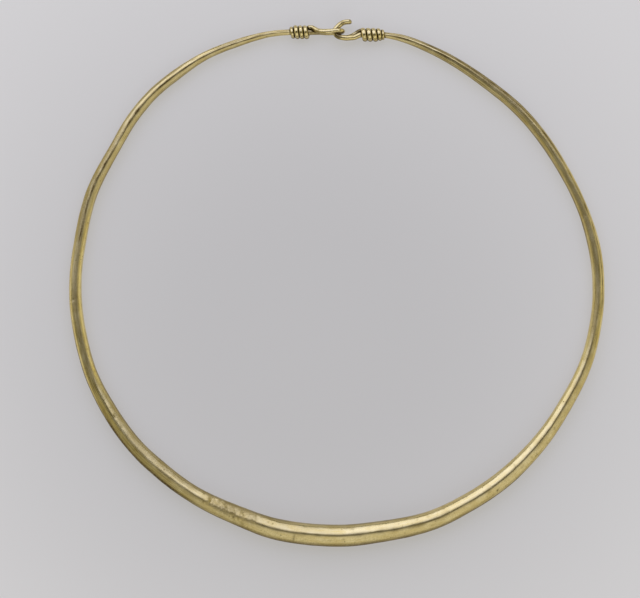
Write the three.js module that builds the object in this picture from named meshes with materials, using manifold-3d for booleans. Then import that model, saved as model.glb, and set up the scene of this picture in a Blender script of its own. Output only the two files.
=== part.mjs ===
// A gold neck ring, in millimetres, lying flat with +Z up. It is one hammered rod, thickest at the front, whose
// ends are drawn out to wire. One wire is bent into an eye and the other into a hook that hangs in the eye, and
// each wire's tail is wound back round the rod. The clasp is at +Y and the thick front at -Y.

import * as THREE from 'three';
import { mergeVertices } from 'three/addons/utils/BufferGeometryUtils.js';
import Module from 'manifold-3d';

const wasm = await Module();
wasm.setup();

// Driving dimensions of the ring
const RING_WIDTH = 200; // overall, across the two sides
const FRONT_THICKNESS = 8.2; // the rod at its thickest
const NECK_THICKNESS = 2.15; // the rod inside the coils
const FLAT_DEPTH = 0.15; // worn off the underside of the front, where the ring rests

// Driving dimensions of the wire and its coils
const WIRE_THICKNESS = 1.55; // in the eye, and from top to bottom in the hook
const WOUND_THICKNESS = 1.4; // in a coil, where the wire is hammered flatter
const EYE_WOUND_WIDTH = 1.64; // along the rod, in the eye's coil
const HOOK_WOUND_WIDTH = 1.84; // along the rod, in the hook's coil
const TURN_GAP = 0.08; // between one turn and the next
const TOUCH = 0.03; // left between surfaces that lie against each other but aren't joined
const EYE_TURNS = 4.15;
const EYE_THIN_TURNS = 1; // the last turns, over which the wire thins
const EYE_TAIL_SHARE = 0.62; // how much of its size the wire keeps at its free end
const HOOK_TURNS = 4.5;
const HOOK_THIN_TURNS = 2;
const HOOK_TAIL_SHARE = 0.55;

// Driving dimensions of the clasp
const EYE_COIL_FROM_MIDDLE = 9.6;
const EYE_LENGTH = 12.95; // from its coil to its far end
const EYE_OFFSET = 0.35; // between its two legs, seen from above
const HOOK_LENGTH = 9.7; // from its coil to the middle of the wire in its bend
const HOOK_HEIGHT = 6.1; // from the middle of its lower arm to the middle of its tip
const HOOK_WIDTH = 2; // of its wires along the lower arm, seen from above
const HOOK_TIP_WIDTH = 1.65; // the same at its tip
const HOOK_OFFSET = 0.25; // between its two wires along the lower arm, seen from above
const HOOK_SLACK = 1.3; // between the hook and the far end of the eye
const PLAY = 0.2; // above and below the hook in the eye, and under the eye

// How finely the forms are cut
const ROD_SIDES = 16;
const WIRE_SIDES = 8;
const ROD_STEPS = 3; // between one station and the next
const WIRE_STEPS = 2;
const STEPS_PER_TURN = 12;
const TONGUE_SHARE = 0.8; // of the rod's full size, at its ends inside the bends

// The hand-bent rod, anticlockwise from the eye's neck to the hook's: the bearing in degrees, the distance from
// the middle as a share of that at the sides, and the swell, from 0 at the neck to 1 at the front
const ROD_SHAPE = [
  [105, 0.982, 0.03],
  [112, 0.989, 0.12],
  [120, 0.999, 0.16],
  [127, 1.001, 0.3],
  [134, 1.004, 0.32],
  [141, 0.999, 0.35],
  [148, 0.989, 0.34],
  [160, 0.994, 0.39],
  [172, 0.991, 0.39],
  [180, 0.996, 0.41],
  [188, 0.998, 0.44],
  [200, 1, 0.46],
  [210, 0.995, 0.6],
  [218, 0.992, 0.63],
  [225, 0.985, 0.69],
  [236, 0.977, 0.71],
  [247, 0.968, 0.84],
  [257, 0.971, 0.96],
  [270, 0.969, 1],
  [279, 0.968, 0.97],
  [291, 0.98, 0.86],
  [300, 0.982, 0.79],
  [310, 0.987, 0.77],
  [320, 0.99, 0.66],
  [328, 0.992, 0.56],
  [341, 1.003, 0.45],
  [350, 1.005, 0.39],
  [358, 1.004, 0.38],
  [367, 0.997, 0.41],
  [378, 0.981, 0.3],
  [392, 0.965, 0.35],
  [403, 0.96, 0.34],
  [414, 0.953, 0.29],
  [424, 0.958, 0.2],
  [434, 0.966, 0.1],
];
const SIDE_SWELL = 0.395; // at the two sides, where the ring is widest
const CLASP_SHARE = 0.955; // of the clasp from the middle, in the same shares

// The hook seen from above, from its coil to its tip, as shares of its length and height
const HOOK_SHAPE = [
  [0.27, 0.06],
  [0.43, 0.02],
  [0.58, 0],
  [0.75, 0.03],
  [0.88, 0.09],
  [0.97, 0.21],
  [1, 0.37],
  [0.99, 0.52],
  [0.92, 0.66],
  [0.82, 0.82],
  [0.69, 0.95],
  [0.5, 1],
];
const HOOK_BEND_SHARE = 0.375; // how far up the hook its bend lies, which is where the eye crosses it
const HOOK_STACKED_FROM = 7; // the point of that list from which its wires lie one above the other

const sideDistance = (RING_WIDTH - thicknessFor(SIDE_SWELL)) / 2;
const claspY = sideDistance * CLASP_SHARE;
const frontZ = FRONT_THICKNESS / 2 - FLAT_DEPTH;
const claspZ = coilRadius(WOUND_THICKNESS) + WOUND_THICKNESS / 2;

const stackStep = WIRE_THICKNESS + TOUCH;
const eyeLowZ = PLAY + WIRE_THICKNESS / 2;
const hookLowZ = eyeLowZ + WIRE_THICKNESS + PLAY;
const hookHighZ = hookLowZ + stackStep;
const eyeHighZ = hookHighZ + WIRE_THICKNESS + PLAY;

const eyeCoilX = -EYE_COIL_FROM_MIDDLE;
const eyeEndX = eyeCoilX + EYE_LENGTH;
const hookBendX = eyeEndX - WIRE_THICKNESS * 1.5 - HOOK_SLACK;
const hookCoilX = hookBendX + HOOK_LENGTH;
const hookArmY = -HOOK_HEIGHT * HOOK_BEND_SHARE;
const eyeCoreY = EYE_OFFSET * 0.25;
const hookCoreY = hookArmY * 0.36;

const UP = new THREE.Vector3(0, 0, 1);
const ACROSS = new THREE.Vector3(0, 1, 0);

function thicknessFor(swell) {
  return NECK_THICKNESS + (FRONT_THICKNESS - NECK_THICKNESS) * swell;
}

// From the rod's middle to that of the wire wound round it, whose straight steps just clear the rod's corners
function coilRadius(wireThickness) {
  const rodCorner = NECK_THICKNESS / 2 / Math.cos(Math.PI / ROD_SIDES);
  return (rodCorner + TOUCH) / Math.cos(Math.PI / STEPS_PER_TURN) + wireThickness / 2;
}

// The middle of the rod lies in one plane, which tilts a little because the front is thicker than the clasp
function rodZ(y) {
  return THREE.MathUtils.mapLinear(y, -claspY, claspY, frontZ, claspZ);
}

// A station of a route: a place, an outward way across it, and the section's sizes that way and square to it
function station(at, out, outSize = WIRE_THICKNESS, crossSize = WIRE_THICKNESS) {
  return { at, out, outSize, crossSize };
}

// A place in the clasp, measured from its middle
function claspPlace(x, y, z) {
  return new THREE.Vector3(x, claspY + y, z);
}

// A smooth route through stations, with a number of steps between one and the next
function refine(stations, steps) {
  const curve = new THREE.CatmullRomCurve3(stations.map((s) => s.at));
  const last = stations.length - 1;
  const route = [];
  for (let i = 0; i <= last * steps; i += 1) {
    const from = Math.min(Math.floor(i / steps), last - 1);
    const share = i / steps - from;
    const a = stations[from];
    const b = stations[from + 1];
    const at = curve.getPoint(i / (last * steps));
    const outSize = THREE.MathUtils.lerp(a.outSize, b.outSize, share);
    const crossSize = THREE.MathUtils.lerp(a.crossSize, b.crossSize, share);
    route.push(station(at, a.out.clone().lerp(b.out, share), outSize, crossSize));
  }
  return route;
}

// The places of one ring of corners round a route, with the corners outside the oval so that the sides touch it
function sectionCorners(route, i, sides) {
  const { at, out, outSize, crossSize } = route[i];
  const before = route[Math.max(i - 1, 0)].at;
  const after = route[Math.min(i + 1, route.length - 1)].at;
  const along = after.clone().sub(before).normalize();
  const outward = out.clone().addScaledVector(along, -out.dot(along)).normalize();
  const crosswise = along.clone().cross(outward);
  const outside = 1 / Math.cos(Math.PI / sides);
  const corners = [];
  for (let k = 0; k < sides; k += 1) {
    const turn = ((k + 0.5) / sides) * 2 * Math.PI;
    const corner = at.clone();
    corner.addScaledVector(outward, (Math.cos(turn) * outside * outSize) / 2);
    corner.addScaledVector(crosswise, (Math.sin(turn) * outside * crossSize) / 2);
    corners.push(corner);
  }
  return corners;
}

// A closed solid that follows a route, with a flat end at both ends
function sweep(route, sides) {
  const corners = route.flatMap((_, i) => sectionCorners(route, i, sides));
  const index = [];
  for (let i = 0; i + 1 < route.length; i += 1) {
    for (let k = 0; k < sides; k += 1) {
      const a = i * sides + k;
      const b = i * sides + ((k + 1) % sides);
      index.push(a, b, b + sides, a, b + sides, a + sides);
    }
  }
  const lastRing = (route.length - 1) * sides;
  for (let k = 1; k + 1 < sides; k += 1) {
    index.push(0, k + 1, k);
    index.push(lastRing, lastRing + k, lastRing + k + 1);
  }
  const geometry = new THREE.BufferGeometry().setFromPoints(corners);
  geometry.setIndex(index);
  return geometry;
}

// Stations on a half turn in an upright plane, one for each bearing: -90 is its low end, 0 its far end and 90 its
// high end
function uprightTurn(middle, radius, bearings, out, width, thickness) {
  return bearings.map((degrees) => {
    const bearing = THREE.MathUtils.degToRad(degrees);
    const place = middle(bearing);
    place.x += radius * Math.cos(bearing);
    place.z += radius * Math.sin(bearing);
    return station(place, out, width, thickness(bearing));
  });
}

// An end of the rod that lies inside the bend of a wire, which carries on from it
function tongue(stationInside) {
  stationInside.outSize *= TONGUE_SHARE;
  stationInside.crossSize *= TONGUE_SHARE;
  return stationInside;
}

// The far end of the eye, where the wire turns back over itself and a little outward from the ring
function eyeBend(...bearings) {
  const radius = (eyeHighZ - eyeLowZ) / 2;
  const middle = (bearing) => {
    const aside = EYE_OFFSET * (0.35 + 0.5 * (Math.sin(bearing) + Math.cos(bearing)));
    return claspPlace(eyeEndX - WIRE_THICKNESS / 2 - radius, aside, eyeLowZ + radius);
  };
  return uprightTurn(middle, radius, bearings, ACROSS, WIRE_THICKNESS, () => WIRE_THICKNESS);
}

// The lower leg of the eye, from its bend to its coil, where the wire has become the rod
function eyeLowerLeg() {
  const leg = (share, drop) => {
    const y = THREE.MathUtils.lerp(eyeCoreY, -EYE_OFFSET * 0.15, drop);
    const z = THREE.MathUtils.lerp(claspZ, eyeLowZ, drop);
    return station(claspPlace(eyeCoilX + EYE_LENGTH * share, y, z), ACROSS);
  };
  return [leg(0.5, 1), leg(0.25, 0.6)];
}

// The upper leg of the eye, from its bend to where it comes down over its coil
function eyeUpperLeg() {
  const leg = (share, aside, drop) => {
    const y = THREE.MathUtils.lerp(EYE_OFFSET * 0.85, eyeCoreY + coilRadius(WOUND_THICKNESS), aside);
    const z = THREE.MathUtils.lerp(eyeHighZ, claspZ, drop);
    return station(claspPlace(eyeCoilX + EYE_LENGTH * share, y, z), ACROSS);
  };
  const nearCoil = [leg(0.21, 0.13, 0.48), leg(0.12, 0.58, 0.66), leg(0.05, 0.9, 0.8)];
  return [leg(0.5, 0, 0.06), leg(0.32, 0.02, 0.27), ...nearCoil];
}

// The rod inside a coil, from its face nearer the middle to its far one
function coilCore(coilX, nearY, farY, turns, woundWidth) {
  const length = turns * (woundWidth + TURN_GAP);
  return [0, 0.5, 1].map((share) => {
    const x = coilX + Math.sign(coilX) * length * share;
    const y = THREE.MathUtils.lerp(nearY, farY, share);
    return station(claspPlace(x, y, claspZ), ACROSS, NECK_THICKNESS, NECK_THICKNESS);
  });
}

// The rod round the neck
function rodRound() {
  return ROD_SHAPE.map(([bearing, distance, swell]) => {
    const turn = THREE.MathUtils.degToRad(bearing);
    const outward = new THREE.Vector3(Math.cos(turn), Math.sin(turn), 0);
    const place = outward.clone().multiplyScalar(sideDistance * distance);
    place.z = rodZ(place.y);
    return station(place, outward, thicknessFor(swell), thicknessFor(swell));
  });
}

// A point of the hook seen from above: its place, and the way from it to the inside of the hook
function hookPoint(i) {
  const plan = (k) => {
    const [reach, rise] = HOOK_SHAPE[THREE.MathUtils.clamp(k, 0, HOOK_SHAPE.length - 1)];
    return claspPlace(hookCoilX - HOOK_LENGTH * reach, hookArmY + HOOK_HEIGHT * rise, 0);
  };
  const along = plan(i + 1).sub(plan(i - 1)).normalize();
  return { place: plan(i), inward: along.cross(UP) };
}

// The width of the hook's wires at a point of it
function hookWidth(i) {
  const drawn = THREE.MathUtils.smoothstep(i, HOOK_STACKED_FROM, HOOK_SHAPE.length - 1);
  return THREE.MathUtils.lerp(HOOK_WIDTH, HOOK_TIP_WIDTH, drawn);
}

// The upper of the hook's two wires, from where the rod has become wire to the tip
function hookUpperWire() {
  return HOOK_SHAPE.map((_, i) => {
    const { place, inward } = hookPoint(i);
    const climb = THREE.MathUtils.smoothstep(i, -2, 3);
    place.z = THREE.MathUtils.lerp(claspZ, hookHighZ, climb);
    return station(place, inward, hookWidth(i));
  });
}

// The lower wire, back from the tip to where it leaves the upper one
function hookLowerWire() {
  const stations = [];
  for (let i = HOOK_SHAPE.length - 1; i >= 2; i -= 1) {
    const { place, inward } = hookPoint(i);
    const spread = HOOK_OFFSET * THREE.MathUtils.clamp((HOOK_STACKED_FROM - i) / 2, 0, 1);
    place.z = hookLowZ;
    place.addScaledVector(inward, spread);
    stations.push(station(place, inward, hookWidth(i)));
  }
  return stations;
}

// The lower wire's way up to its coil, which it meets on the outside of the ring
function hookLowerWireToCoil() {
  const inward = new THREE.Vector3(-1, 1.5, 0);
  const way = (share, rise) => {
    const y = THREE.MathUtils.lerp(hookArmY, hookCoreY + coilRadius(WOUND_THICKNESS), rise);
    const z = THREE.MathUtils.lerp(hookLowZ, claspZ - WOUND_THICKNESS / 4, rise);
    const width = THREE.MathUtils.lerp(HOOK_WIDTH, WOUND_THICKNESS, rise);
    return station(claspPlace(hookCoilX - HOOK_LENGTH * share, y, z), inward, width);
  };
  return [way(0.42, 0.2), way(0.26, 0.45), way(0.1, 0.8)];
}

// The hook's tip, where its wire is folded back under itself and hammered thinner
function hookFold(...bearings) {
  const radius = stackStep / 2;
  const { place, inward } = hookPoint(HOOK_SHAPE.length - 1);
  place.z = hookLowZ + radius;
  const thinned = (bearing) => WIRE_THICKNESS * (1 - 0.3 * Math.cos(bearing));
  return uprightTurn(() => place.clone(), radius, bearings, inward, HOOK_TIP_WIDTH, thinned);
}

// A place at a distance along a route, and the way the route runs there
function pointAlong(route, distance) {
  let left = distance;
  let i = 0;
  let step = route[1].at.clone().sub(route[0].at);
  while (left > step.length() && i + 2 < route.length) {
    left -= step.length();
    i += 1;
    step = route[i + 1].at.clone().sub(route[i].at);
  }
  const axis = step.normalize();
  return { at: route[i].at.clone().addScaledVector(axis, left), axis };
}

// The tail wound round the rod, away from the middle. A bearing of 0 is outward from the ring and 90 is up, and
// the sense is 1 where the bearing grows
function woundTail(core, startBearing, sense, turns, woundWidth, thinTurns, tailShare) {
  const count = Math.round(turns * STEPS_PER_TURN);
  const stations = [];
  let distance = woundWidth / 4;
  for (let i = 0; i <= count; i += 1) {
    const full = THREE.MathUtils.smoothstep(count - i, 0, STEPS_PER_TURN * thinTurns);
    const size = THREE.MathUtils.lerp(tailShare, 1, full);
    const thickness = WOUND_THICKNESS * size;
    const bearing = THREE.MathUtils.degToRad(startBearing + (sense * i * 360) / STEPS_PER_TURN);
    const { at, axis } = pointAlong(core, distance);
    const out = ACROSS.clone().addScaledVector(axis, -ACROSS.dot(axis)).normalize();
    out.multiplyScalar(Math.cos(bearing)).addScaledVector(UP, Math.sin(bearing));
    at.addScaledVector(out, coilRadius(thickness));
    stations.push(station(at, out, thickness, woundWidth * size));
    distance += (woundWidth * size + TURN_GAP) / STEPS_PER_TURN;
  }
  return stations;
}

// A wire that comes from its loop, along a lead of stations, and runs into its wound tail
function leadIntoTail(lead, tail) {
  const route = refine([...lead, tail[0], tail[1]], WIRE_STEPS);
  return [...route.slice(0, -WIRE_STEPS), ...tail.slice(1)];
}

function toSolid(geometry) {
  const vertProperties = new Float32Array(geometry.attributes.position.array);
  const triVerts = new Uint32Array(geometry.index.array);
  return new wasm.Manifold(new wasm.Mesh({ numProp: 3, vertProperties, triVerts }));
}

function toGeometry(solid) {
  const mesh = solid.getMesh();
  const geometry = new THREE.BufferGeometry();
  geometry.setAttribute('position', new THREE.BufferAttribute(mesh.vertProperties, 3));
  geometry.setIndex(new THREE.BufferAttribute(mesh.triVerts, 1));
  geometry.computeVertexNormals();
  return geometry;
}

// Everything below the surface that the ring lies on
function belowGround() {
  const depth = FRONT_THICKNESS;
  const box = new THREE.BoxGeometry(RING_WIDTH * 2, RING_WIDTH * 2, depth);
  box.translate(0, 0, -depth / 2);
  box.deleteAttribute('normal');
  box.deleteAttribute('uv');
  return toSolid(mergeVertices(box));
}

// One rod runs from the middle of the eye's bend, round the neck, to the middle of the hook's fold
const eyeStations = [tongue(...eyeBend(12)), ...eyeBend(0, -30, -60, -90), ...eyeLowerLeg()];
const eyeCore = coilCore(eyeCoilX, eyeCoreY, eyeCoreY, EYE_TURNS, EYE_WOUND_WIDTH);
const hookCore = coilCore(hookCoilX, hookCoreY, hookCoreY * 1.2, HOOK_TURNS, HOOK_WOUND_WIDTH);
const hookStations = [...hookUpperWire(), ...hookFold(60, 0), tongue(...hookFold(-20))];
const rodStations = [...eyeStations, ...eyeCore, ...rodRound(), ...hookCore.reverse(), ...hookStations];
const rod = refine(rodStations, ROD_STEPS);

const eyeCoreRoute = rod.slice(eyeStations.length * ROD_STEPS);
const eyeTail = woundTail(eyeCoreRoute, 15, -1, EYE_TURNS, EYE_WOUND_WIDTH, EYE_THIN_TURNS, EYE_TAIL_SHARE);
const eyeWire = leadIntoTail([...eyeBend(0, 30, 60, 90), ...eyeUpperLeg()], eyeTail);

const hookCoreRoute = rod.slice(0, -hookStations.length * ROD_STEPS).reverse();
const hookTail = woundTail(hookCoreRoute, -12, 1, HOOK_TURNS, HOOK_WOUND_WIDTH, HOOK_THIN_TURNS, HOOK_TAIL_SHARE);
const hookLead = [...hookFold(0, -60), ...hookLowerWire(), ...hookLowerWireToCoil()];
const hookWire = leadIntoTail(hookLead, hookTail);

const ring = toSolid(sweep(rod, ROD_SIDES))
  .add(toSolid(sweep(eyeWire, WIRE_SIDES)))
  .add(toSolid(sweep(hookWire, WIRE_SIDES)))
  .subtract(belowGround());

// The origin is under the middle of the whole ring
const geometry = toGeometry(ring);
geometry.computeBoundingBox();
const middle = geometry.boundingBox.getCenter(new THREE.Vector3());
geometry.translate(-middle.x, -middle.y, 0);

const gold = new THREE.MeshStandardMaterial({ color: 0xb39a5c, roughness: 0.35, metalness: 1 });
const neckRing = new THREE.Mesh(geometry, gold);
neckRing.name = 'neck_ring';

const group = new THREE.Group();
group.add(neckRing);
export default group;
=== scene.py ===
"""A gold neck ring on a pale table: one hammered rod whose drawn-out ends make an eye and a hook."""

import math

import bpy
import numpy as np
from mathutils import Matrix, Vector
from mathutils.kdtree import KDTree


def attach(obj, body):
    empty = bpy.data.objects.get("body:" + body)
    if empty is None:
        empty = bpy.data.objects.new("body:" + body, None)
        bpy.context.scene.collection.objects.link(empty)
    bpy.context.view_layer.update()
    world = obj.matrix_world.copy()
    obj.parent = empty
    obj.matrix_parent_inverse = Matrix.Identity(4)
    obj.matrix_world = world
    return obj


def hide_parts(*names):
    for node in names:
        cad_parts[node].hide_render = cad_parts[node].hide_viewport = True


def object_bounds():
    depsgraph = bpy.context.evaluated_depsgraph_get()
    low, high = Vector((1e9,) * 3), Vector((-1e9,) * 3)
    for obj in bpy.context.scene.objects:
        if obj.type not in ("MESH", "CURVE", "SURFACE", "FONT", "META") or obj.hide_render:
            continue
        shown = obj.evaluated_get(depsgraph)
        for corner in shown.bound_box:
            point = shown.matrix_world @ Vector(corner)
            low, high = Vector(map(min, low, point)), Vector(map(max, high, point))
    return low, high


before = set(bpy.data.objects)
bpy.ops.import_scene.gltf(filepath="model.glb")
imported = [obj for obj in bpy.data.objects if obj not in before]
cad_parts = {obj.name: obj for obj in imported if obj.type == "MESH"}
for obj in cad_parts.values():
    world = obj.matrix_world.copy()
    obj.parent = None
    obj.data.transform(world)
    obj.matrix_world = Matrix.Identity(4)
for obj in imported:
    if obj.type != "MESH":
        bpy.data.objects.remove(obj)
cad_low, cad_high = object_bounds()

MM = 0.001

# The real sizes in millimetres, and turns and shares, as in the solids
RING_WIDTH = 200.0
FRONT_THICKNESS = 8.2
NECK_THICKNESS = 2.15
FLAT_DEPTH = 0.15
WIRE_THICKNESS = 1.55
WOUND_THICKNESS = 1.4
EYE_WOUND_WIDTH = 1.64
HOOK_WOUND_WIDTH = 1.84
TURN_GAP = 0.08
TOUCH = 0.03
EYE_TURNS = 4.15
EYE_THIN_TURNS = 1.0
EYE_TAIL_SHARE = 0.62
EYE_TAIL_START = 15
HOOK_TURNS = 4.5
HOOK_THIN_TURNS = 2.0
HOOK_TAIL_SHARE = 0.55
HOOK_TAIL_START = -12
EYE_COIL_FROM_MIDDLE = 9.6
EYE_LENGTH = 12.95
EYE_OFFSET = 0.35
EYE_CORE_SHARE = 0.25
HOOK_LENGTH = 9.7
HOOK_HEIGHT = 6.1
HOOK_WIDTH = 2.0
HOOK_TIP_WIDTH = 1.65
HOOK_OFFSET = 0.25
HOOK_SLACK = 1.3
HOOK_CORE_SHARE = 0.36
HOOK_CORE_SPREAD = 1.2
PLAY = 0.2
STEPS_PER_TURN = 12
SOLID_SIDES = 16
CORNER_SHARE = 1 / math.cos(math.pi / SOLID_SIDES)

# The hand-bent rod, anticlockwise: bearing in degrees, share of the side distance, swell from neck to front
ROD_SHAPE = [
    (105, 0.982, 0.03), (112, 0.989, 0.12), (120, 0.999, 0.16), (127, 1.001, 0.3), (134, 1.004, 0.32),
    (141, 0.999, 0.35), (148, 0.989, 0.34), (160, 0.994, 0.39), (172, 0.991, 0.39), (180, 0.996, 0.41),
    (188, 0.998, 0.44), (200, 1, 0.46), (210, 0.995, 0.6), (218, 0.992, 0.63), (225, 0.985, 0.69),
    (236, 0.977, 0.71), (247, 0.968, 0.84), (257, 0.971, 0.96), (270, 0.969, 1), (279, 0.968, 0.97),
    (291, 0.98, 0.86), (300, 0.982, 0.79), (310, 0.987, 0.77), (320, 0.99, 0.66), (328, 0.992, 0.56),
    (341, 1.003, 0.45), (350, 1.005, 0.39), (358, 1.004, 0.38), (367, 0.997, 0.41), (378, 0.981, 0.3),
    (392, 0.965, 0.35), (403, 0.96, 0.34), (414, 0.953, 0.29), (424, 0.958, 0.2), (434, 0.966, 0.1),
]
SIDE_SWELL = 0.395
CLASP_SHARE = 0.955

# The eye's upper leg: share of the eye's length from its coil, shares of the way aside and down to the tail.
# It is broader than the rest of the wire.
EYE_UPPER_LEG = [(0.5, 0, 0.06), (0.32, 0.06, 0.27), (0.21, 0.24, 0.48), (0.12, 0.62, 0.66), (0.05, 0.9, 0.8)]
EYE_UPPER_ASIDE = 0.3
EYE_BROAD_SHARE = 1.22

# The eye's lower leg: share of the eye's length from its coil, share of the way down and aside from the rod
EYE_LOWER_LEG = [(0.5, 1), (0.25, 0.6)]
EYE_LOWER_ASIDE = 0.15

# How far aside the eye's bend lies, as shares of its offset: all of it, more of its top, more of its far end
EYE_BEND_ASIDE, EYE_BEND_TOP_ASIDE, EYE_BEND_FAR_ASIDE = 0.35, 0.2, 0.5

# The hook seen from above, from its coil to its tip, as shares of its length and height
HOOK_SHAPE = [
    (0.27, 0.06), (0.43, 0.02), (0.58, 0), (0.75, 0.03), (0.88, 0.09), (0.97, 0.21),
    (1, 0.37), (0.99, 0.52), (0.92, 0.66), (0.82, 0.82), (0.69, 0.95), (0.5, 1),
]
HOOK_BEND_SHARE = 0.375
HOOK_STACKED_FROM = 7
HOOK_RISE_FROM, HOOK_RISE_TO = -2, 3
HOOK_FOLD_THINNING = 0.3

# The hook's lower wire near its coil: share of the hook's length from the coil, share of the way up to it
HOOK_RETURN = [(0.42, 0.2), (0.26, 0.45), (0.1, 0.8)]
HOOK_RETURN_OUT = (-1, 1.5, 0)

# How finely the skin is cut, with places in millimetres
ROD_SIDES = 60
WIRE_SIDES = 30
ROD_SPACING = 0.55
BEATEN_SPACING = 0.24
BEATEN_FROM = 236
BEATEN_TO = 257
WIRE_SPACING = 0.26
CORE_STEPS = 12
TAIL_LOOK_AHEAD = 0.3
HALF_TURN = (90, 60, 30, 0, -30, -60, -90)
FOLD_TURN = (60, 0, -60)
END_ROUNDING = (20, 40, 58, 74, 86)

# Random relief: depth, cell length in millimetres, lobes round the section and seed. The swell's depth is a
# share of the radius, as is the wires'. The beaten patch has its own, which slants round the rod.
NOISE_CELLS = 2048
NOISE_START = 3
ROD_SWELL = (0.012, 9.0, 5, 11)
ROD_ROUGHNESS = [(0.028, 3.2, 9, 12), (0.012, 1.5, 18, 13)]
BEATEN_ROUGHNESS = [(0.23, 1.7, 12, 18), (0.1, 0.8, 26, 19)]
BEATEN_SLANT = 0.025
WIRE_LUMPS = (0.018, 1.7, 5, 16)

# The hammered rod's soft lengthwise facets: the section bearings of the ridges between them, where 0 is
# outward from the ring and 90 is up, and how flat each facet is, from its ridge to the next
RIDGES = [(90, 0.42), (148, 0.32), (184, 0.5), (220, 0.6), (270, 0.6), (320, 0.5), (360, 0.4), (394, 0.85)]
RIDGE_SHARPNESS = 19

# The facets fade near the outline seen from above, by this share of them and from this share of the radius
OUTLINE_FADE = 0.7
OUTLINE_FROM = 0.7

# How far the facets are turned round the rod: ring bearings from and to, how softly, and degrees. The right
# side's turn comes in over its first bearings, and is eased over its last ones, by a share.
FACET_TURNS = [(166, 203, 6, 20), (232, 350, 8, 6), (284, 336, 8, 2)]
RIGHT_SIDE_TURN = -18
RIGHT_SIDE_FROM = (352, 372)
RIGHT_SIDE_EASED = (420, 434, 0.5)
FACET_WAVER = (3.5, 8.0, 17)

# Patches of the skin: ring bearings from and to, how softly, the section bearing of the middle, how far from
# it the patch starts to fade and where it ends, all in degrees, and its strength
INNER_FACET_TURN = (284, 336, 8, 152, 8, 44, -10)
BEATEN_PATCHES = [(239, 251.5, 1.5, 122, 30, 48, 1), (243, 250, 1.5, 65, 20, 36, 0.5)]
ROUGH_PATCHES = [
    (238, 346, 6, 52, 26, 40, 1), (214, 234, 4, 115, 20, 34, 0.6),
    (163, 204, 6, 90, 40, 60, 0.3), (350, 416, 6, 90, 40, 60, 0.3),
]

# Fine folds along the rod, shallow grooves with painted shade laid along them as dark lines: the ring bearings
# they run from and to, the section bearings there, their breadth in millimetres and their strength
SHADED_FOLDS = [
    (104, 132, 93, 95, 0.34, 0.95), (128, 172, 94, 89, 0.56, 1), (100, 120, 64, 70, 0.2, 0.6),
    (166, 200, 92, 98, 0.5, 0.45), (168, 196, 124, 124, 0.3, 0.35), (102, 160, 120, 124, 0.22, 0.4),
    (205, 236, 62, 74, 0.3, 0.35), (226, 262, 90, 97, 0.8, 0.5), (258, 300, 97, 97, 0.75, 0.55),
    (298, 348, 101, 98, 0.6, 0.55), (236, 346, 94, 97, 0.2, 0.45), (354, 430, 52, 50, 0.46, 0.9),
    (372, 416, 96, 92, 0.34, 0.4), (384, 430, 140, 132, 0.22, 0.5), (408, 438, 58, 62, 0.22, 0.55),
    (412, 438, 92, 97, 0.3, 0.95), (420, 438, 124, 118, 0.16, 0.4),
]
FOLD_DEPTH = 0.05
FOLD_SOFT = 2.5
FOLD_LEVEL = 0.82

# How the folds waver along the rod, as size, cell length in millimetres and seed: where they lie, in slow and
# quick turns, how broad they are and how strong
FOLD_WAVERS = [(2.5, 5.0, 20), (1.2, 1.7, 50), (0.35, 3.5, 80), (0.3, 2.6, 110)]

# Rims darkened with painted shade: ring bearings from and to, section bearings from and to, and strength
SHADED_RIMS = [
    (191, 316, -4, 31, 0.92), (244, 300, 6, 42, 0.65), (312, 340, 2, 24, 0.5), (206, 232, 2, 56, 0.55),
    (126, 168, 30, 58, 0.52), (104, 166, 102, 145, 0.3), (143, 172, 20, 82, 0.5), (196, 262, 150, 200, 0.6),
    (209, 238, -40, 48, 1), (215, 227, 80, 134, 0.26), (206, 238, 116, 150, 0.36), (236, 268, 104, 150, 0.2),
    (402, 421, 42, 84, 0.66), (346, 386, 96, 142, 0.42), (196, 344, -40, 16, 0.45), (258, 290, 156, 240, 0.5),
    (104, 163, 150, 240, 0.55), (104, 160, -60, 18, 0.4), (396, 436, -60, 34, 0.75),
    (366, 436, 150, 240, 0.68), (150, 400, 215, 325, 0.45),
]
RIM_SOFT = 6
RIM_FADE = 9
RIM_LEVEL = 0.9
RIM_MOTTLE = (0.16, 5.0, 6, 15)

# Dark flecks, as the strength, and where their noise starts and ends, with its cell length, lobes and seed
FLECKS = (0.3, 0.6, 1, 1.1, 22, 14)
BEATEN_FLECKS = (0.4, -0.1, 0.7, 2.3, 12, 21)
MORE_FLECKS_WHERE_BEATEN = 0.3

# Spots of painted shade on the clasp: place across and along the ring, radius, all in millimetres, and strength
SHADE_SPOTS = [
    (0.3, 91.9, 2.0, 0.72), (-9.6, 94.2, 1.9, 0.6), (-7.6, 93.1, 1.8, 0.55), (7.6, 94.7, 1.8, 0.85),
    (2.2, 96.8, 1.1, 0.5), (5.1, 97.9, 0.8, 0.6), (-18.6, 93.9, 1.0, 0.3),
]
SHADE_SPOT_CORE = 0.4

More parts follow.
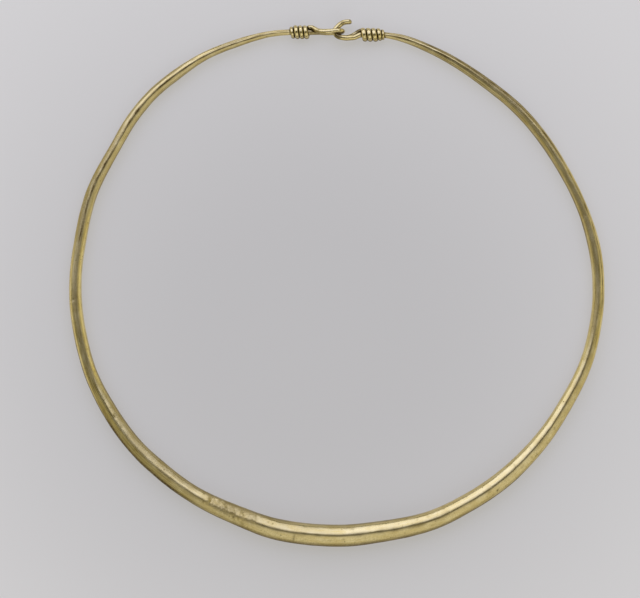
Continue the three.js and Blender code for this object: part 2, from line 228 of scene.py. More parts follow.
# Single marks: ring bearing, section bearing, length and breadth in millimetres, slant, depth and how dark
MARKS = [
    (244.8, 122, 7.5, 2.4, 0.1, 0.2, 0.3), (240.3, 128, 0.55, 2.2, 0.7, 0.1, 0.35),
    (242.4, 122, 0.5, 1.9, 0.9, 0.09, 0.3), (246.4, 80, 0.45, 0.6, 0, 0.13, 0.7),
    (249.6, 125, 0.6, 1.5, -0.8, 0.09, 0.25), (260.6, 62, 0.35, 2.1, 0.15, 0.09, 0.5),
    (307.8, 59, 0.4, 0.35, 0, 0.16, 1), (375.2, 106, 0.5, 0.8, 0.9, 0.12, 0.55),
    (374.6, 118, 0.5, 0.7, -0.9, 0.1, 0.4), (211.4, 96, 0.5, 1.2, 0.6, 0.07, 0.3),
    (214.2, 102, 0.6, 1.1, -0.5, 0.07, 0.25), (219.6, 78, 0.5, 0.9, 0.4, 0.06, 0.3),
    (144.2, 78, 0.5, 0.9, 0.6, 0.07, 0.2), (147.5, 74, 0.6, 0.8, -0.6, 0.06, 0.2),
    (183.8, 76, 0.4, 0.6, 0, 0.08, 0.5), (254.2, 126, 0.3, 0.3, 0, 0.1, 0.7),
    (255.3, 124, 0.3, 0.35, 0, 0.1, 0.8), (271.6, 75, 0.4, 0.4, 0, 0.07, 0.5),
    (326.2, 70, 0.4, 0.6, 0.3, 0.07, 0.4), (399.0, 85, 0.4, 0.5, 0, 0.07, 0.5),
]

# Small crossing creases: ring bearings from and to, section bearings from and to, and how many. Then the
# least and most of each one's sizes in millimetres, and how much painted shade it gets for its depth.
WRINKLES = [(238, 252, 88, 150, 34), (184, 201, 50, 110, 16), (208, 222, 60, 120, 14)]
WRINKLE_SEED = 5
WRINKLE_LENGTH = (0.3, 0.55)
WRINKLE_BREADTH = (0.4, 1.3)
WRINKLE_SLANT = (-1.2, 1.2)
WRINKLE_DEPTH = (-0.05, 0.09)
WRINKLE_SHADE_PER_DEPTH = 4

# Where the clasp is darkened with grime and painted shade: places this near another stretch of wire, which is
# this far on along it
CREVICE_PROBE = 0.3
CREVICE_TOUCH = 0.18
CREVICE_REACH = 0.66
CREVICE_RUN = 2.2
CLASP_HALF_LENGTH = 28.0

# Painted shade on the wires' sides: where a side starts and is full, its strength, and how much more lies
# toward the front and the left
WIRE_SIDE = (0.35, 0.95)
WIRE_SIDE_SHADE = 0.7
FRONTWARD_SHADE = 0.36
LEFTWARD_SHADE = 0.2

# The roughness of the polished wires against that of the rod
WIRE_POLISH = -0.6

# The gold's colours, its streaks' size in millimetres, its other patterns' scales to a metre, and the height of
# its finest relief in metres
PALE_GOLD = (0.86, 0.725, 0.37, 1)
DEEP_GOLD = (0.70, 0.555, 0.225, 1)
SPECKLED_GOLD = (0.55, 0.43, 0.18, 1)
# The dark brown that grime and all the painted shade are mixed toward
GRIME_AND_SHADE_BROWN = (0.105, 0.064, 0.012, 1)
STREAK_LENGTH = 7.0
STREAK_FINENESS = 7.0
GRAIN_SCALE = 1900.0
PATCH_SCALE = 190.0
PIT_SCALE = 620.0
PITTED_AREA_SCALE = 300.0
BUMP_STRENGTH = 0.5
BUMP_HEIGHT = 0.00006

# What the patterns do to the gold: shares, strengths, and ranges from the least to the most
NOISE_RANGE = (0.3, 0.7)
STREAK_SHARE, PATCH_SHARE = 0.55, 0.45
TONE_RANGE = (0.36, 0.64)
SPECKLE_RANGE = (0.42, 0.62)
SPECKLE_STRENGTH = 0.35
PIT_RANGE = (0.1, 0.2)
PITTED_AREA_RANGE = (0.52, 0.6)
PIT_GRIME = 0.6
DARKENING_MOTTLE = (0.82, 1.15)
CLEAN_ROUGHNESS = (0.22, 0.34)
MATTE_ROUGHNESS = 0.13
DARKENING_ROUGHNESS = 0.2
GRAIN_BUMP = (0.4, 1.5)
STREAK_BUMP = 0.5
PIT_BUMP = 1.2

# The table, in metres: its glow is painted light that lifts the shadows, and is weakest under the ring
TABLE_HALF = 3.0
TABLE_COLOUR = (0.3, 0.295, 0.285, 1)
TABLE_ROUGHNESS = 0.9
TABLE_PAINTED_LIGHT_COLOUR = (1, 0.978, 0.965, 1)
TABLE_PAINTED_LIGHT = 0.322
TABLE_PAINTED_LIGHT_RISE = 0.14
TABLE_DIM_MIDDLE = (-0.01, -0.02, 0)
TABLE_DIM_FROM, TABLE_DIM_TO = 0.03, 0.2

# The room's light: overhead and at mid height, at the horizon to front and back, and there to the two sides.
# Heights are those of a way out, where 1 is straight overhead.
ROOM_COLOUR = (1, 0.95, 0.64, 1)
ROOM_OVERHEAD, ROOM_MID = 0.11, 0.37
ROOM_FRONT, ROOM_SIDES = 0.12, 1.1
ROOM_MID_HEIGHT = 0.3
ROOM_SIDES_FROM = 0.35
ROOM_HORIZON = (0.05, 0.4)

# The photograph's frame in pixels, the ring's middle in it, and the real size of a pixel in millimetres
PHOTO_WIDTH, PHOTO_HEIGHT = 640, 598
RING_MIDDLE_X, RING_MIDDLE_Y = 336.8, 283.05
PIXEL = 0.3731
LENS, SENSOR = 100.0, 36.0

UP = np.array([0.0, 0.0, 1.0])
ACROSS = np.array([0.0, 1.0, 0.0])


def lerp(a, b, share):
    return a + (b - a) * share


def smoothstep(x, low, high):
    share = np.clip((x - low) / (high - low), 0, 1)
    return share * share * (3 - 2 * share)


def between(x, low, high, soft):
    return smoothstep(x, low - soft, low + soft) * (1 - smoothstep(x, high - soft, high + soft))


def unit(v):
    return v / np.linalg.norm(v, axis=-1, keepdims=True)


def run_along(places):
    """How far along a line each of its places lies."""
    return np.concatenate([[0], np.cumsum(np.linalg.norm(np.diff(places, axis=0), axis=1))])


def thickness_for(swell):
    return NECK_THICKNESS + (FRONT_THICKNESS - NECK_THICKNESS) * swell


def coil_radius(wire_thickness):
    """From the rod's middle to that of the wire wound round it."""
    clear = (NECK_THICKNESS / 2 * CORNER_SHARE + TOUCH) / math.cos(math.pi / STEPS_PER_TURN)
    return clear + wire_thickness / 2


side_distance = (RING_WIDTH - thickness_for(SIDE_SWELL)) / 2
clasp_y = side_distance * CLASP_SHARE
front_z = FRONT_THICKNESS / 2 - FLAT_DEPTH
clasp_z = coil_radius(WOUND_THICKNESS) + WOUND_THICKNESS / 2
stack_step = WIRE_THICKNESS + TOUCH
eye_low_z = PLAY + WIRE_THICKNESS / 2
hook_low_z = eye_low_z + WIRE_THICKNESS + PLAY
hook_high_z = hook_low_z + stack_step
eye_high_z = hook_high_z + WIRE_THICKNESS + PLAY
eye_coil_x = -EYE_COIL_FROM_MIDDLE
eye_end_x = eye_coil_x + EYE_LENGTH
hook_bend_x = eye_end_x - WIRE_THICKNESS * 1.5 - HOOK_SLACK
hook_coil_x = hook_bend_x + HOOK_LENGTH
hook_arm_y = -HOOK_HEIGHT * HOOK_BEND_SHARE
eye_core_y = EYE_OFFSET * EYE_CORE_SHARE
hook_core_y = hook_arm_y * HOOK_CORE_SHARE
hook_core_far_y = hook_core_y * HOOK_CORE_SPREAD


def rod_z(y):
    """The middle of the rod lies in one plane that tilts a little."""
    return front_z + (clasp_z - front_z) * (y + clasp_y) / (2 * clasp_y)


def station(at, out, thick=WIRE_THICKNESS, wide=WIRE_THICKNESS):
    """A place, a way out across the route, and the section's sizes that way and square to it."""
    return np.concatenate([at, out, [thick, wide]])


def clasp_place(x, y, z):
    return np.array([x, clasp_y + y, z])


def refine(stations, spacing=None, steps=None):
    """A smooth route through stations, at a spacing in millimetres, or one for each gap, or in steps."""
    rows = np.array(stations)
    rows = np.vstack([2 * rows[0] - rows[1], rows, 2 * rows[-1] - rows[-2]])
    gaps = np.sqrt(np.linalg.norm(np.diff(rows[:, :3], axis=0), axis=1))
    route = []
    for i in range(1, len(rows) - 2):
        gap_spacing = spacing[i - 1] if isinstance(spacing, list) else spacing
        count = steps or max(1, round(gaps[i] ** 2 / gap_spacing))
        share = (np.arange(count) / count)[:, None]
        before, gap, after = gaps[i - 1], gaps[i], gaps[i + 1]
        a, b, c, d = rows[i - 1 : i + 3]
        leave = ((b - a) / before - (c - a) / (before + gap) + (c - b) / gap) * gap
        arrive = ((c - b) / gap - (d - b) / (gap + after) + (d - c) / after) * gap
        square, cube = share**2, share**3
        route.append(
            (2 * cube - 3 * square + 1) * b
            + (cube - 2 * square + share) * leave
            + (3 * square - 2 * cube) * c
            + (cube - square) * arrive
        )
    return np.vstack([*route, rows[-2]])


def upright_turn(middle, radius, bearings, out, width, thickness):
    """Stations on a half turn in an upright plane: -90 is its low end, 0 its far end and 90 its high end."""
    stations = []
    for degrees in bearings:
        bearing = math.radians(degrees)
        place = middle(bearing) + radius * np.array([math.cos(bearing), 0, math.sin(bearing)])
        stations.append(station(place, out, width, thickness(bearing)))
    return stations


def eye_bend():
    """The far end of the eye."""
    radius = (eye_high_z - eye_low_z) / 2

    def middle(bearing):
        top, far = math.sin(bearing), math.cos(bearing)
        aside = EYE_OFFSET * (EYE_BEND_ASIDE + EYE_BEND_TOP_ASIDE * top + EYE_BEND_FAR_ASIDE * far)
        return clasp_place(eye_end_x - WIRE_THICKNESS / 2 - radius, aside, eye_low_z + radius)

    return upright_turn(middle, radius, HALF_TURN, ACROSS, WIRE_THICKNESS, lambda bearing: WIRE_THICKNESS)


def eye_lower_leg():
    stations = []
    for share, drop in EYE_LOWER_LEG:
        y = lerp(eye_core_y, -EYE_OFFSET * EYE_LOWER_ASIDE, drop)
        z = lerp(clasp_z, eye_low_z, drop)
        stations.append(station(clasp_place(eye_coil_x + EYE_LENGTH * share, y, z), ACROSS))
    return stations


def eye_upper_leg():
    stations = []
    for share, aside, drop in EYE_UPPER_LEG:
        y = lerp(-EYE_OFFSET * EYE_UPPER_ASIDE, eye_core_y + coil_radius(WOUND_THICKNESS), aside)
        z = lerp(eye_high_z, clasp_z, drop)
        breadth = WIRE_THICKNESS * lerp(EYE_BROAD_SHARE, 1, aside)
        stations.append(station(clasp_place(eye_coil_x + EYE_LENGTH * share, y, z), ACROSS, breadth))
    return stations


def coil_core(coil_x, near_y, far_y, turns, wound_width):
    """The rod inside a coil, from its face nearer the middle to its far one."""
    length = math.copysign(turns * (wound_width + TURN_GAP), coil_x)
    stations = []
    for share in (0, 0.5, 1):
        place = clasp_place(coil_x + length * share, lerp(near_y, far_y, share), clasp_z)
        stations.append(station(place, ACROSS, NECK_THICKNESS, NECK_THICKNESS))
    return stations


def rod_round():
    stations = []
    for bearing, distance, swell in ROD_SHAPE:
        turn = math.radians(bearing)
        out = np.array([math.cos(turn), math.sin(turn), 0])
        place = out * side_distance * distance
        place[2] = rod_z(place[1])
        stations.append(station(place, out, thickness_for(swell), thickness_for(swell)))
    return stations


def hook_point(i):
    """A point of the hook seen from above, and the way from it to the inside of the hook."""

    def plan(k):
        reach, rise = HOOK_SHAPE[min(max(k, 0), len(HOOK_SHAPE) - 1)]
        return clasp_place(hook_coil_x - HOOK_LENGTH * reach, hook_arm_y + HOOK_HEIGHT * rise, 0)

    along = unit(plan(i + 1) - plan(i - 1))
    return plan(i), np.cross(along, UP)


def hook_width(i):
    return lerp(HOOK_WIDTH, HOOK_TIP_WIDTH, smoothstep(i, HOOK_STACKED_FROM, len(HOOK_SHAPE) - 1))


def hook_upper_wire():
    stations = []
    for i in range(len(HOOK_SHAPE)):
        place, inward = hook_point(i)
        place[2] = lerp(clasp_z, hook_high_z, smoothstep(i, HOOK_RISE_FROM, HOOK_RISE_TO))
        stations.append(station(place, inward, hook_width(i)))
    return stations


def hook_lower_wire():
    stations = []
    for i in range(len(HOOK_SHAPE) - 1, 1, -1):
        place, inward = hook_point(i)
        place[2] = hook_low_z
        spread = HOOK_OFFSET * np.clip((HOOK_STACKED_FROM - i) / 2, 0, 1)
        stations.append(station(place + inward * spread, inward, hook_width(i)))
    return stations


def hook_lower_wire_to_coil():
    stations = []
    inward = unit(np.array(HOOK_RETURN_OUT))
    for share, rise in HOOK_RETURN:
        y = lerp(hook_arm_y, hook_core_y + coil_radius(WOUND_THICKNESS), rise)
        z = lerp(hook_low_z, clasp_z - WOUND_THICKNESS / 4, rise)
        place = clasp_place(hook_coil_x - HOOK_LENGTH * share, y, z)
        stations.append(station(place, inward, lerp(HOOK_WIDTH, WOUND_THICKNESS, rise)))
    return stations


def hook_fold():
    """The hook's tip, where its wire is folded back under itself."""
    radius = stack_step / 2
    place, inward = hook_point(len(HOOK_SHAPE) - 1)
    place[2] = hook_low_z + radius

    def thinned(bearing):
        return WIRE_THICKNESS * (1 - HOOK_FOLD_THINNING * math.cos(bearing))

    return upright_turn(lambda bearing: place, radius, FOLD_TURN, inward, HOOK_TIP_WIDTH, thinned)


def wound_tail(core, start_bearing, sense, turns, wound_width, thin_turns, tail_share):
    """The tail wound round a core, away from the clasp's middle. Its bearing is 0 outward and 90 up."""
    run = run_along(core)
    count = round(turns * STEPS_PER_TURN)
    stations = []
    distance = wound_width / 4
    for i in range(count + 1):
        size = lerp(tail_share, 1, smoothstep(count - i, 0, STEPS_PER_TURN * thin_turns))
        bearing = math.radians(start_bearing + sense * i * 360 / STEPS_PER_TURN)
        at = np.array([np.interp(distance, run, core[:, k]) for k in range(3)])
        ahead = np.array([np.interp(distance + TAIL_LOOK_AHEAD, run, core[:, k]) for k in range(3)])
        axis = unit(ahead - at)
        out = unit(ACROSS - axis * axis[1]) * math.cos(bearing) + UP * math.sin(bearing)
        thick = WOUND_THICKNESS * size
        stations.append(station(at + out * coil_radius(thick), out, thick, wound_width * size))
        distance += (wound_width * size + TURN_GAP) / STEPS_PER_TURN
    return stations


def eye_stations(core, rod_start):
    """From the end of the eye's tail, through the eye, to the middle of its coil."""
    line = refine([*core, *rod_start], steps=CORE_STEPS)[:, :3]
    tail = wound_tail(
        line, EYE_TAIL_START, -1, EYE_TURNS, EYE_WOUND_WIDTH, EYE_THIN_TURNS, EYE_TAIL_SHARE
    )
    return [*tail[::-1], *eye_upper_leg()[::-1], *eye_bend(), *eye_lower_leg(), *core[:2]]


def hook_stations(core, rod_end):
    """From the middle of the hook's coil, through the hook, to the end of its tail."""
    line = refine([*core, *rod_end], steps=CORE_STEPS)[:, :3]
    tail = wound_tail(
        line, HOOK_TAIL_START, 1, HOOK_TURNS, HOOK_WOUND_WIDTH, HOOK_THIN_TURNS, HOOK_TAIL_SHARE
    )
    wires = [*hook_upper_wire(), *hook_fold(), *hook_lower_wire(), *hook_lower_wire_to_coil()]
    return [*core[1::-1], *wires, *tail]


def whole_route():
    """Stations in three stretches: the eye with its tail, the rod, and the hook with its tail."""
    eye_core = coil_core(eye_coil_x, eye_core_y, eye_core_y, EYE_TURNS, EYE_WOUND_WIDTH)
    hook_core = coil_core(hook_coil_x, hook_core_y, hook_core_far_y, HOOK_TURNS, HOOK_WOUND_WIDTH)
    ring = rod_round()
    first = eye_stations(eye_core, ring[:2])
    last = hook_stations(hook_core, ring[:-3:-1])
    return first, [eye_core[1], eye_core[2], *ring, hook_core[2], hook_core[1]], last


def value_noise(along, round_share, cell, lobes, seed):
    """Smooth noise from -1 to 1 over the skin, in cells along the rod and a number of lobes round it."""
    grid = np.random.default_rng(seed).uniform(-1, 1, (NOISE_CELLS, lobes))
    u = along / cell + NOISE_START
    v = round_share * lobes
    iu = np.floor(u).astype(int)
    iv = np.floor(v).astype(int)
    fu = smoothstep(u - iu, 0, 1)
    fv = smoothstep(v - iv, 0, 1)
    row, next_row = iu % NOISE_CELLS, (iu + 1) % NOISE_CELLS
    near = lerp(grid[row, iv % lobes], grid[row, (iv + 1) % lobes], fv)
    far = lerp(grid[next_row, iv % lobes], grid[next_row, (iv + 1) % lobes], fv)
    return lerp(near, far, fu)


def waver(along, size, cell, seed):
    """A size, up or down, that changes along the rod only."""
    return size * value_noise(along, np.zeros_like(along), cell, 1, seed)


def angle_from(turn, degrees):
    """How many degrees round the section a turn lies from a bearing, from -180 to 180."""
    return np.degrees(np.angle(np.exp(1j * (turn - np.radians(degrees)))))


def patch_share(turn, bearing, start, end, soft, middle, fade_from, fade_to, strength):
    """How strongly each place lies in a patch of the skin."""
    away = np.abs(angle_from(turn, middle))
    return strength * between(bearing, start, end, soft) * (1 - smoothstep(away, fade_from, fade_to))


def beaten_share(turn, bearing):
    """How much of each place lies in the patch that was hammered hardest."""
    return sum(patch_share(turn, bearing, *patch) for patch in BEATEN_PATCHES)


def rod_matte(turn, bearing):
    """Where the rod's skin is rougher: its outer band at the front, and its flat top at the two sides."""
    rough = [patch_share(turn, bearing, *patch) for patch in ROUGH_PATCHES]
    return np.maximum.reduce([*rough, beaten_share(turn, bearing)])


def facet_shift(along, turn, bearing):
    """How far the facets are turned round the section, in radians."""
    degrees = np.zeros_like(turn)
    for start, end, soft, turned in FACET_TURNS:
        degrees += turned * between(bearing, start, end, soft)
    ease_from, ease_to, eased = RIGHT_SIDE_EASED
    right_side = smoothstep(bearing, *RIGHT_SIDE_FROM) * (1 - eased * smoothstep(bearing, ease_from, ease_to))
    degrees += RIGHT_SIDE_TURN * right_side
    degrees += patch_share(turn, bearing, *INNER_FACET_TURN)
    return np.radians(degrees + waver(along, *FACET_WAVER))


def facet_share(turn, shift):
    """The faceted section's radius as a share of the round one's."""
    total = np.ones_like(turn)
    for (ridge, flat), (next_ridge, _) in zip(RIDGES, [*RIDGES[1:], (RIDGES[0][0] + 360, 0)]):
        half = math.radians(next_ridge - ridge) / 2
        middle = math.radians(ridge + next_ridge) / 2 + shift
        distance = 1 - flat * (1 - math.cos(half))
        total += (np.clip(np.cos(turn - middle), 0, 1) / distance) ** RIDGE_SHARPNESS
    share = total ** (-1 / RIDGE_SHARPNESS)
    return share / share.max(axis=-1, keepdims=True)


def worked_depth(along, turn, bearing, radius, beaten):
    """How far the facets and the hammering lie inside the round section, in millimetres."""
    share = turn / (2 * math.pi)
    facets = 1 - facet_share(turn, facet_shift(along, turn, bearing))
    kept = 1 - OUTLINE_FADE * smoothstep(np.abs(np.cos(turn)), OUTLINE_FROM, 1)
    swell, *cells = ROD_SWELL
    depth = radius * facets * kept + radius * swell * value_noise(along, share, *cells)
    for deep, *cells in ROD_ROUGHNESS:
        depth += deep * value_noise(along, share, *cells)
    for deep, *cells in BEATEN_ROUGHNESS:
        depth += deep * beaten * value_noise(along, share + BEATEN_SLANT * along, *cells)
    return depth


def shaded_fold_share(along, turn, bearing, radius):
    """How nearly each place lies in one of the folds, from 0 to 1, which sets both their shallow groove and
    their painted shade.
    """
    share = np.zeros_like(turn)
    for i, (start, end, turn_start, turn_end, breadth, strength) in enumerate(SHADED_FOLDS):
        slow, quick, broader, stronger = [waver(along, *sizes, seed + i) for *sizes, seed in FOLD_WAVERS]
        middle = turn_start + (turn_end - turn_start) * np.clip((bearing - start) / (end - start), 0, 1)
        away = np.radians(angle_from(turn, middle + slow + quick)) * radius
        reach = breadth * (1 + broader)
        here = strength * between(bearing, start, end, FOLD_SOFT) * np.exp(-((away / reach) ** 2))
        share = np.maximum(share, here * (FOLD_LEVEL + stronger))
    return share


def fleck_share(along, turn, beaten):
    """How dark the small flecks are at each place, with larger ones where the rod is beaten."""
    share = turn / (2 * math.pi)
    strength, low, high, *cells = FLECKS
    flecks = smoothstep(value_noise(along, share, *cells), low, high)
    flecks = flecks * (strength + MORE_FLECKS_WHERE_BEATEN * beaten)
    strength, low, high, *cells = BEATEN_FLECKS
    larger = smoothstep(value_noise(along, share + BEATEN_SLANT * along, *cells), low, high)
    return np.maximum(flecks, strength * beaten * larger)


def rim_shade_share(along, turn, bearing):
    """How dark the painted shade on the rims is at each place."""
    size, *cells = RIM_MOTTLE
    mottle = RIM_LEVEL + size * value_noise(along, turn / (2 * math.pi), *cells)
    dark = np.zeros_like(turn)
    for start, end, turn_start, turn_end, strength in SHADED_RIMS:
        half = (turn_end - turn_start) / 2
        fade = (turn_start + half, half - RIM_FADE, half + RIM_FADE)
        dark = np.maximum(dark, patch_share(turn, bearing, start, end, RIM_SOFT, *fade, strength) * mottle)
    return dark


def wrinkle_marks():
    """Small crossing creases where the rod was hammered hardest."""
    draw = np.random.default_rng(WRINKLE_SEED)
    marks = []
    for low, high, turn_low, turn_high, count in WRINKLES:
        for _ in range(count):
            at, turn_at = draw.uniform(low, high), draw.uniform(turn_low, turn_high)
            length, breadth = draw.uniform(*WRINKLE_LENGTH), draw.uniform(*WRINKLE_BREADTH)
            slant, depth = draw.uniform(*WRINKLE_SLANT), draw.uniform(*WRINKLE_DEPTH)
            # Each crease is painted with shade by its depth
            marks.append((at, turn_at, length, breadth, slant, depth, max(depth, 0) * WRINKLE_SHADE_PER_DEPTH))
    return marks


def mark_share(mark, turn, bearing, radius):
    at, turn_at, length, breadth, slant, _, _ = mark
    run = np.radians(bearing - at) * RING_WIDTH / 2
    across = np.radians(angle_from(turn, turn_at)) * radius - slant * run
    return np.exp(-((run / length) ** 2) - (across / breadth) ** 2)


def rod_relief(along, turn, bearing, radius):
    """How far the rod's skin lies inside its round section, in millimetres, and how dark it is: flecks and
    marks, with painted shade on its folds, rims and creases.
    """
    beaten = beaten_share(turn, bearing)
    depth = worked_depth(along, turn, bearing, radius, beaten)
    shaded_folds = shaded_fold_share(along, turn, bearing, radius)
    depth += FOLD_DEPTH * shaded_folds
    # Flecks and marks are the gold's own; the folds and rims add painted shade
    dark = np.maximum.reduce([shaded_folds, fleck_share(along, turn, beaten), rim_shade_share(along, turn, bearing)])
    for mark in [*MARKS, *wrinkle_marks()]:
        here = mark_share(mark, turn, bearing, radius)
        depth += mark[5] * here
        dark = np.maximum(dark, mark[6] * here)
    return depth, np.clip(dark, 0, 1)


def sections(route, sides):
    """The places of the skin on each section of a route, and each section's frame."""
    at, out, thick, wide = route[:, :3], route[:, 3:6], route[:, 6], route[:, 7]
    along = unit(np.gradient(at, axis=0))
    out = unit(out - along * np.sum(out * along, axis=1, keepdims=True))
    over = np.cross(out, along)
    turn = np.arange(sides) / sides * 2 * math.pi
    return at, out, over, thick[:, None] / 2, wide[:, None] / 2, np.broadcast_to(turn, (len(at), sides))


def skin(route, sides, on_rod):
    """The places of a stretch of skin, how far along it they lie, and how dark and how rough it is there."""
    at, out, over, thick, wide, turn = sections(route, sides)
    run = run_along(at)
    along = np.broadcast_to(run[:, None], turn.shape)
    if on_rod:
        bearing = np.degrees(np.unwrap(np.arctan2(at[:, 1], at[:, 0])))
        bearing = np.broadcast_to(bearing[:, None], turn.shape)
        depth, dark = rod_relief(along, turn, bearing, thick)
        matte = rod_matte(turn, bearing)
        relief = depth / thick
    else:
        size, *cells = WIRE_LUMPS
        relief = size * value_noise(along, turn / (2 * math.pi), *cells)
        dark = np.zeros_like(turn)
        matte = np.full_like(turn, WIRE_POLISH)
    across = np.cos(turn) * thick * (1 - relief)
    above = np.sin(turn) * wide * (1 - relief)
    places = at[:, None] + across[..., None] * out[:, None] + above[..., None] * over[:, None]
    return places, run, dark, matte


def round_end(route):
    """The route with a rounded end added past its last section."""
    end = route[-1]
    ahead = unit(end[:3] - route[-2][:3])
    caps = []
    for degrees in END_ROUNDING:
        cap = end.copy()
        cap[:3] += ahead * math.sin(math.radians(degrees)) * end[6] / 2
        cap[6:] *= math.cos(math.radians(degrees))
        caps.append(cap)
    return np.vstack([route, *caps])


def skin_parts():
    """The skin of the eye with its tail, of the rod, and of the hook with its tail."""
    first, ring, last = whole_route()
    first = round_end(refine(first, WIRE_SPACING)[::-1])[::-1]
    last = round_end(refine(last, WIRE_SPACING))
    beaten = [BEATEN_FROM <= bearing < BEATEN_TO for bearing, _, _ in ROD_SHAPE]
    spacings = [BEATEN_SPACING if fine else ROD_SPACING for fine in [False, False, *beaten, False]]
    return [
        skin(first[:-1], WIRE_SIDES, False),
        skin(refine(ring, spacings), ROD_SIDES, True),
        skin(last[1:], WIRE_SIDES, False),
    ]


def section_rows(parts):
    """Each section's first place, how many places it has, and how far along the whole route it lies."""
    rows = []
    start, so_far = 0, 0.0
    for places, run, _, _ in parts:
        sides = places.shape[1]
        for here in run + so_far:
            rows.append((start, sides, float(here)))
            start += sides
        so_far = rows[-1][2] + WIRE_SPACING
    return rows


def bridge_alike(row, next_row):
    """Faces between two sections with as many places, and where their corners lie along and round the rod."""
    (a, count, run), (b, _, next_run) = row, next_row
    faces, lay = [], []
    for k in range(count):
        j = (k + 1) % count
        share, next_share = k / count, (k + 1) / count
        faces.append((a + k, b + k, b + j, a + j))
        lay += [(run, share), (next_run, share), (next_run, next_share), (run, next_share)]
    return faces, lay


def bridge_to_half(row, next_row):
    """Faces between two sections, one with half the places of the other, and where their corners lie."""
    fine_first = row[1] > next_row[1]
    (f, _, f_run), (c, coarse, c_run) = (row, next_row) if fine_first else (next_row, row)
    faces, lay = [], []
    for k in range(coarse):
        j = (k + 1) % coarse
        between_two = (f + 2 * k + 1, f_run, k + 0.5)
        triangles = [
            ((f + 2 * k, f_run, k), (c + k, c_run, k), between_two),
            (between_two, (c + k, c_run, k), (c + j, c_run, k + 1)),
            (between_two, (c + j, c_run, k + 1), (f + 2 * j, f_run, k + 1)),
        ]
        for triangle in triangles:
            corners = triangle if fine_first else triangle[::-1]
            faces.append(tuple(corner[0] for corner in corners))
            lay += [(corner[1], corner[2] / coarse) for corner in corners]
    return faces, lay


def skin_faces(rows):
    """All faces of the skin, and where each of their corners lies along and round the rod."""
    faces, lay = [], []
    for row, next_row in zip(rows, rows[1:]):
        bridge = bridge_alike if row[1] == next_row[1] else bridge_to_half
        faces_here, lay_here = bridge(row, next_row)
        faces += faces_here
        lay += lay_here
    for (start, count, run), way in [(rows[0], 1), (rows[-1], -1)]:
        order = range(count)[::way]
        faces.append(tuple(start + k for k in order))
        lay += [(run, k / count) for k in order]
    return faces, lay


def settle(places):
    """Places moved sideways to the middle of the solid, and kept inside its box, in millimetres."""
    low, high = np.array(cad_low), np.array(cad_high)
    middle = (places.min(axis=0) + places.max(axis=0)) / 2
    places[:, :2] += ((low + high) / 2 / MM - middle)[:2]
    return np.clip(places, low / MM, high / MM)


# Grime with painted shade where wires nearly touch
def crevice_share(places, normals, runs):
    """How near each place in the clasp is to another stretch of it, from 0, clear, to 1, touching."""
    chosen = np.flatnonzero((np.abs(places[:, 0]) < CLASP_HALF_LENGTH) & (places[:, 1] > 0))
    tree = KDTree(len(chosen))
    for i in chosen:
        tree.insert(places[i], i)
    tree.balance()
    share = np.zeros(len(places))
    for i in chosen:
        found = tree.find_range(places[i] + normals[i] * CREVICE_PROBE, CREVICE_REACH)
        gaps = [gap for _, j, gap in found if abs(runs[j] - runs[i]) > CREVICE_RUN]
        if gaps:
            share[i] = 1 - smoothstep(min(gaps), CREVICE_TOUCH, CREVICE_REACH)
    return share


def wire_side_shade_share(normals):
    """How dark the painted shade on the wires' sides is."""
    side_on = smoothstep(1 - np.abs(normals[:, 2]), *WIRE_SIDE)
    return side_on * (WIRE_SIDE_SHADE - FRONTWARD_SHADE * normals[:, 1] - LEFTWARD_SHADE * normals[:, 0])


# Round spots of painted shade on the clasp
def shade_spot_share(places):
    dark = np.zeros(len(places))
    for x, y, radius, strength in SHADE_SPOTS:
        away = np.hypot(places[:, 0] - x, places[:, 1] - y)
        dark = np.maximum(dark, strength * (1 - smoothstep(away, radius * SHADE_SPOT_CORE, radius)))
    return dark


def vertex_normals(mesh):
    normals = np.zeros(len(mesh.vertices) * 3, dtype=np.float32)
    mesh.vertex_normals.foreach_get("vector", normals)
    return normals.reshape(-1, 3)


def add_values(mesh, name, values):
    attribute = mesh.attributes.new(name, "FLOAT", "POINT")
    attribute.data.foreach_set("value", values.astype(np.float32))


def build_mesh(name):
    """The whole skin as one closed mesh, with its grime and painted shade, its roughness and its lay along the
    rod.
    """
    parts = skin_parts()
    rows = section_rows(parts)
    faces, lay = skin_faces(rows)
    places = settle(np.vstack([part[0].reshape(-1, 3) for part in parts]))
    mesh = bpy.data.meshes.new(name)
    mesh.from_pydata((places * MM).tolist(), [], faces)
    mesh.uv_layers.new(name="lay").uv.foreach_set("vector", np.array(lay, dtype=np.float32).ravel())
    mesh.shade_smooth()
    mesh.update()

    normals = vertex_normals(mesh)
    runs = np.concatenate([np.full(sides, run) for _, sides, run in rows])
    on_wire = np.concatenate([np.full(sides, sides == WIRE_SIDES) for _, sides, _ in rows])
    rod_marks_and_shade = np.concatenate([part[2].ravel() for part in parts])
    wire_side_shade = on_wire * wire_side_shade_share(normals)
    crevices = crevice_share(places, normals, runs)
    # One darkening mask: grime, with painted shade on the rod's rims, folds and creases, the wires' sides,
    # spots on the clasp and crevices
    add_values(mesh, "grime_and_shade", np.maximum.reduce([rod_marks_and_shade, wire_side_shade, shade_spot_share(places), crevices]))
    add_values(mesh, "matte", np.concatenate([part[3].ravel() for part in parts]))
    return mesh


def add_node(tree, kind, inputs=(), **settings):
    """A shader node with settings, whose inputs are given by name or number as values or links."""
    node = tree.nodes.new(kind)
    for name, value in settings.items():
        setattr(node, name, value)
    for key, value in inputs:
        if isinstance(value, bpy.types.NodeSocket):
            tree.links.new(value, node.inputs[key])
        else:
            node.inputs[key].default_value = value
    return node


def calculate(tree, operation, a, b=0.0):
    return add_node(tree, "ShaderNodeMath", [(0, a), (1, b)], operation=operation).outputs[0]


def times(tree, a, b):
    return calculate(tree, "MULTIPLY", a, b)


def plus(tree, a, b):
    return calculate(tree, "ADD", a, b)


